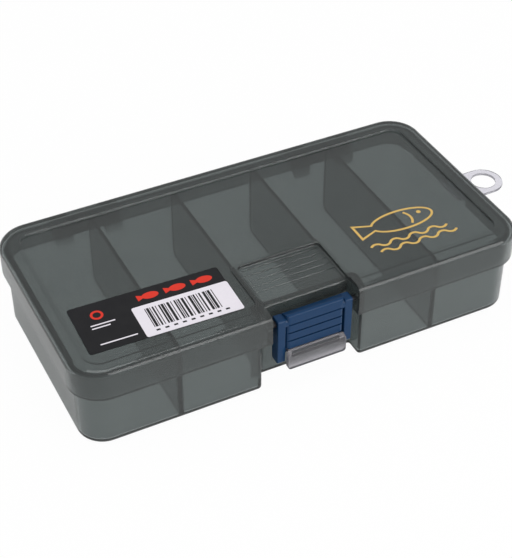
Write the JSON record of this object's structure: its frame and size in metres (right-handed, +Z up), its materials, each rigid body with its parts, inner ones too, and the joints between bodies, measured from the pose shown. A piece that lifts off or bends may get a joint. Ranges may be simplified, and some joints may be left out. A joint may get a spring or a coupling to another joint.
{
  "type": "pocket lure box",
  "caption": "Flat translucent pocket lure box with a rear-hinged lid, fixed compartments, a blue front snap latch and a clear hanging ring.",
  "frame": {"origin": "middle of the lid's outline, on the surface the closed box stands on", "axes": "+X right along the length, +Y to the hinges, +Z up; the latch faces -Y"},
  "size_m": [0.177, 0.0892, 0.032],
  "materials": {
    "smoke_plastic": "translucent smoky grey-green moulded plastic",
    "blue_plastic": "opaque navy blue moulded plastic",
    "clear_plastic": "clear moulded plastic with a faint lavender cast",
    "pin_steel": "drawn steel wire",
    "label_film": "printed film label"
  },
  "bodies": {
    "tray_body": {"tray": "smoke_plastic", "hanger_ring": "clear_plastic", "hinge_pin_left": "pin_steel", "hinge_pin_right": "pin_steel"},
    "lid_body": {"lid": "smoke_plastic", "latch_pin": "pin_steel", "label_sticker": "label_film"},
    "latch_body": {"latch": "blue_plastic", "pull_tab": "clear_plastic"}
  },
  "joints": [
    {"name": "lid_hinge", "type": "hinge", "parent": "tray_body", "child": "lid_body", "pos_m": [0, 0.044, 0.0235], "axis": [-1, 0, 0], "range_deg": [0, 180]},
    {"name": "latch_hinge", "type": "hinge", "parent": "lid_body", "child": "latch_body", "pos_m": [0, -0.0378, 0.0264], "axis": [-1, 0, 0], "range_deg": [0, 100]}
  ]
}
